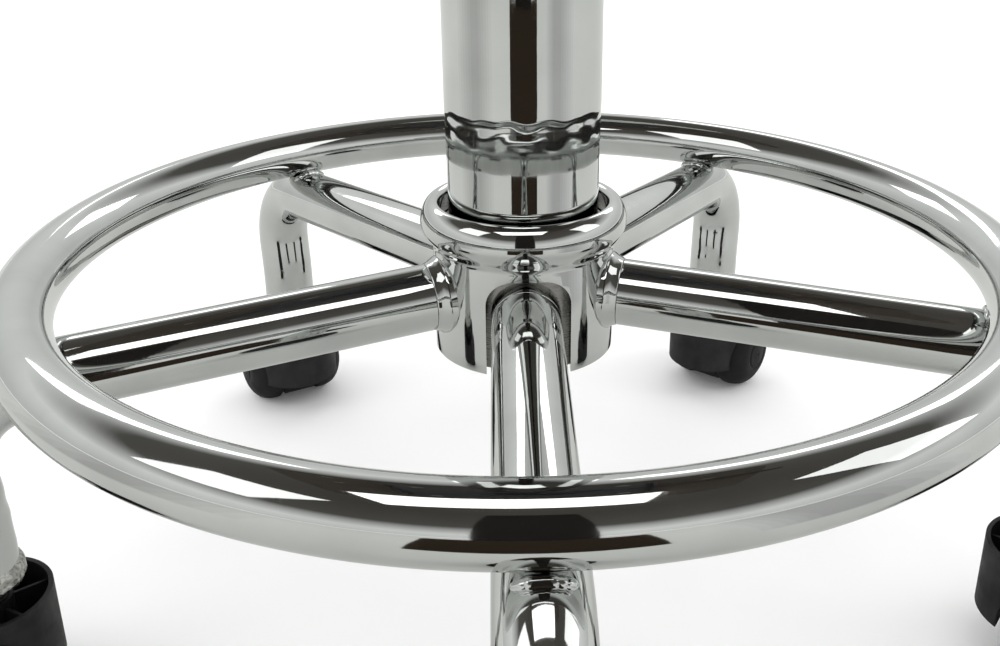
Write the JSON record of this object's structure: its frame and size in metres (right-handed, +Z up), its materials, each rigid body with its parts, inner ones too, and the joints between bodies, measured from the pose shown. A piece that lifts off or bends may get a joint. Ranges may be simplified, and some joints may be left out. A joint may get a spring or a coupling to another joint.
{
  "type": "drafting chair",
  "caption": "Drafting chair: chromed star base with foot ring and twin-wheel casters, gas-lift column, padded swivel seat and adjustable padded backrest.",
  "frame": {"origin": "on the floor at the column's axis", "axes": "+Z up along the column; the sitter faces -Y; +X is the sitter's left-hand side seen from the front, where the lift lever is"},
  "size_m": [0.43, 0.5004, 1.005],
  "materials": {
    "chrome_tube": "polished",
    "cylinder_chrome": "polished",
    "bar_chrome": "polished",
    "weld_metal": "satin",
    "raw_steel": "satin",
    "caster_nylon": "satin",
    "wheel_nylon": "satin",
    "guide_plastic": "satin",
    "black_steel": "satin",
    "black_plastic": "matte",
    "plywood": "matte",
    "seat_vinyl": "satin"
  },
  "bodies": {
    "root": {"hub_shell": "chrome_tube", "hub_socket": "raw_steel", "leg_necks": "chrome_tube", "leg_1": "chrome_tube", "leg_2": "chrome_tube", "leg_3": "chrome_tube", "leg_4": "chrome_tube", "leg_5": "chrome_tube", "foot_ring": "chrome_tube", "ring_welds": "weld_metal", "leg_plugs": "weld_metal", "caster_stems": "raw_steel", "column_tube": "chrome_tube", "guide_bush": "guide_plastic", "thrust_bearing": "raw_steel"},
    "spindle": {"piston_rod": "raw_steel", "piston": "raw_steel", "retaining_clip": "raw_steel"},
    "seat_frame": {"gas_cylinder": "cylinder_chrome", "rod_guide": "raw_steel", "seat_plate": "black_steel", "mechanism_housing": "black_steel", "lever_pin": "raw_steel", "bar_sleeve": "black_steel", "seat_bolts": "raw_steel", "seat_board": "plywood", "arm_nuts": "raw_steel", "seat_cushion": "seat_vinyl"},
    "lever": {"lift_lever": "black_steel", "lever_handle": "black_plastic"},
    "valve": {"release_pin": "raw_steel"},
    "back_slide": {"back_bar": "bar_chrome"},
    "depth_clamp": {"depth_knob": "black_plastic"},
    "back_carrier": {"back_bracket": "black_plastic", "tilt_pin": "raw_steel"},
    "height_clamp": {"height_knob": "black_plastic"},
    "backrest": {"hinge_plate": "black_steel", "back_bolts": "raw_steel", "back_shell": "black_plastic", "back_cushion": "seat_vinyl"},
    "caster_1": {"caster_1_hood": "caster_nylon", "caster_1_axle": "raw_steel"},
    "wheel_1_left": {"caster_1_wheel_left": "wheel_nylon"},
    "wheel_1_right": {"caster_1_wheel_right": "wheel_nylon"},
    "caster_2": {"caster_2_hood": "caster_nylon", "caster_2_axle": "raw_steel"},
    "wheel_2_left": {"caster_2_wheel_left": "wheel_nylon"},
    "wheel_2_right": {"caster_2_wheel_right": "wheel_nylon"},
    "caster_3": {"caster_3_hood": "caster_nylon", "caster_3_axle": "raw_steel"},
    "wheel_3_left": {"caster_3_wheel_left": "wheel_nylon"},
    "wheel_3_right": {"caster_3_wheel_right": "wheel_nylon"},
    "caster_4": {"caster_4_hood": "caster_nylon", "caster_4_axle": "raw_steel"},
    "wheel_4_left": {"caster_4_wheel_left": "wheel_nylon"},
    "wheel_4_right": {"caster_4_wheel_right": "wheel_nylon"},
    "caster_5": {"caster_5_hood": "caster_nylon", "caster_5_axle": "raw_steel"},
    "wheel_5_left": {"caster_5_wheel_left": "wheel_nylon"},
    "wheel_5_right": {"caster_5_wheel_right": "wheel_nylon"}
  },
  "joints": [
    {"name": "seat_swivel", "type": "hinge", "parent": "root", "child": "spindle", "pos_m": [0, 0, 0.109], "axis": [0, 0, 1], "continuous": true},
    {"name": "seat_lift", "type": "slide", "parent": "spindle", "child": "seat_frame", "axis": [0, 0, 1], "range_m": [0, 0.2]},
    {"name": "lift_lever_pull", "type": "hinge", "parent": "seat_frame", "child": "lever", "pos_m": [0.022, 0, 0.5065], "axis": [0, -1, 0], "range_deg": [0, 8], "stiffness_Nm_per_rad": 1, "springref_deg": -17.19},
    {"name": "release_pin_press", "type": "slide", "parent": "seat_frame", "child": "valve", "axis": [0, 0, -1], "range_m": [0, 0.0032]},
    {"name": "back_depth", "type": "slide", "parent": "seat_frame", "child": "back_slide", "axis": [0, 1, 0], "range_m": [-0.02, 0.025]},
    {"name": "depth_knob_turn", "type": "hinge", "parent": "seat_frame", "child": "depth_clamp", "pos_m": [0, 0.092, 0.48], "axis": [0, 0, 1], "continuous": true},
    {"name": "back_height", "type": "slide", "parent": "back_slide", "child": "back_carrier", "axis": [0, 0, 1], "range_m": [-0.03, 0.05]},
    {"name": "height_knob_turn", "type": "hinge", "parent": "back_carrier", "child": "height_clamp", "pos_m": [0, 0.28, 0.86], "axis": [0, 1, 0], "continuous": true},
    {"name": "back_tilt", "type": "hinge", "parent": "back_carrier", "child": "backrest", "pos_m": [0, 0.221, 0.86], "axis": [1, 0, 0], "range_deg": [-10, 10]},
    {"name": "caster_1_swivel", "type": "hinge", "parent": "root", "child": "caster_1", "pos_m": [-0.00527, -0.17742, 0.03], "axis": [0, 0, 1], "continuous": true},
    {"name": "wheel_1_left_spin", "type": "hinge", "parent": "caster_1", "child": "wheel_1_left", "pos_m": [-0.00303, -0.18768, 0.018], "axis": [0.977, 0.213, 0], "continuous": true},
    {"name": "wheel_1_right_spin", "type": "hinge", "parent": "caster_1", "child": "wheel_1_right", "pos_m": [-0.00303, -0.18768, 0.018], "axis": [0.977, 0.213, 0], "continuous": true},
    {"name": "caster_2_swivel", "type": "hinge", "parent": "root", "child": "caster_2", "pos_m": [0.16974, -0.0519, 0.03], "axis": [0, 0, 1], "continuous": true},
    {"name": "wheel_2_left_spin", "type": "hinge", "parent": "caster_2", "child": "wheel_2_left", "pos_m": [0.17767, -0.05878, 0.018], "axis": [0.6561, 0.7547, 0], "continuous": true},
    {"name": "wheel_2_right_spin", "type": "hinge", "parent": "caster_2", "child": "wheel_2_right", "pos_m": [0.17767, -0.05878, 0.018], "axis": [0.6561, 0.7547, 0], "continuous": true},
    {"name": "caster_3_swivel", "type": "hinge", "parent": "root", "child": "caster_3", "pos_m": [0.10003, 0.14663, 0.03], "axis": [0, 0, 1], "continuous": true},
    {"name": "wheel_3_left_spin", "type": "hinge", "parent": "caster_3", "child": "wheel_3_left", "pos_m": [0.10709, 0.1544, 0.018], "axis": [-0.7396, 0.673, 0], "continuous": true},
    {"name": "wheel_3_right_spin", "type": "hinge", "parent": "caster_3", "child": "wheel_3_right", "pos_m": [0.10709, 0.1544, 0.018], "axis": [-0.7396, 0.673, 0], "continuous": true},
    {"name": "caster_4_swivel", "type": "hinge", "parent": "root", "child": "caster_4", "pos_m": [-0.10358, 0.14414, 0.03], "axis": [0, 0, 1], "continuous": true},
    {"name": "wheel_4_left_spin", "type": "hinge", "parent": "caster_4", "child": "wheel_4_left", "pos_m": [-0.1083, 0.15352, 0.018], "axis": [-0.8934, -0.4493, 0], "continuous": true},
    {"name": "wheel_4_right_spin", "type": "hinge", "parent": "caster_4", "child": "wheel_4_right", "pos_m": [-0.1083, 0.15352, 0.018], "axis": [-0.8934, -0.4493, 0], "continuous": true},
    {"name": "caster_5_swivel", "type": "hinge", "parent": "root", "child": "caster_5", "pos_m": [-0.16947, -0.05278, 0.03], "axis": [0, 0, 1], "continuous": true},
    {"name": "wheel_5_left_spin", "type": "hinge", "parent": "caster_5", "child": "wheel_5_left", "pos_m": [-0.17793, -0.059, 0.018], "axis": [0.592, -0.8059, 0], "continuous": true},
    {"name": "wheel_5_right_spin", "type": "hinge", "parent": "caster_5", "child": "wheel_5_right", "pos_m": [-0.17793, -0.059, 0.018], "axis": [0.592, -0.8059, 0], "continuous": true}
  ],
  "couplings": [
    {"joint": "release_pin_press", "follows": "lift_lever_pull", "m_per_rad": 0.022}
  ]
}
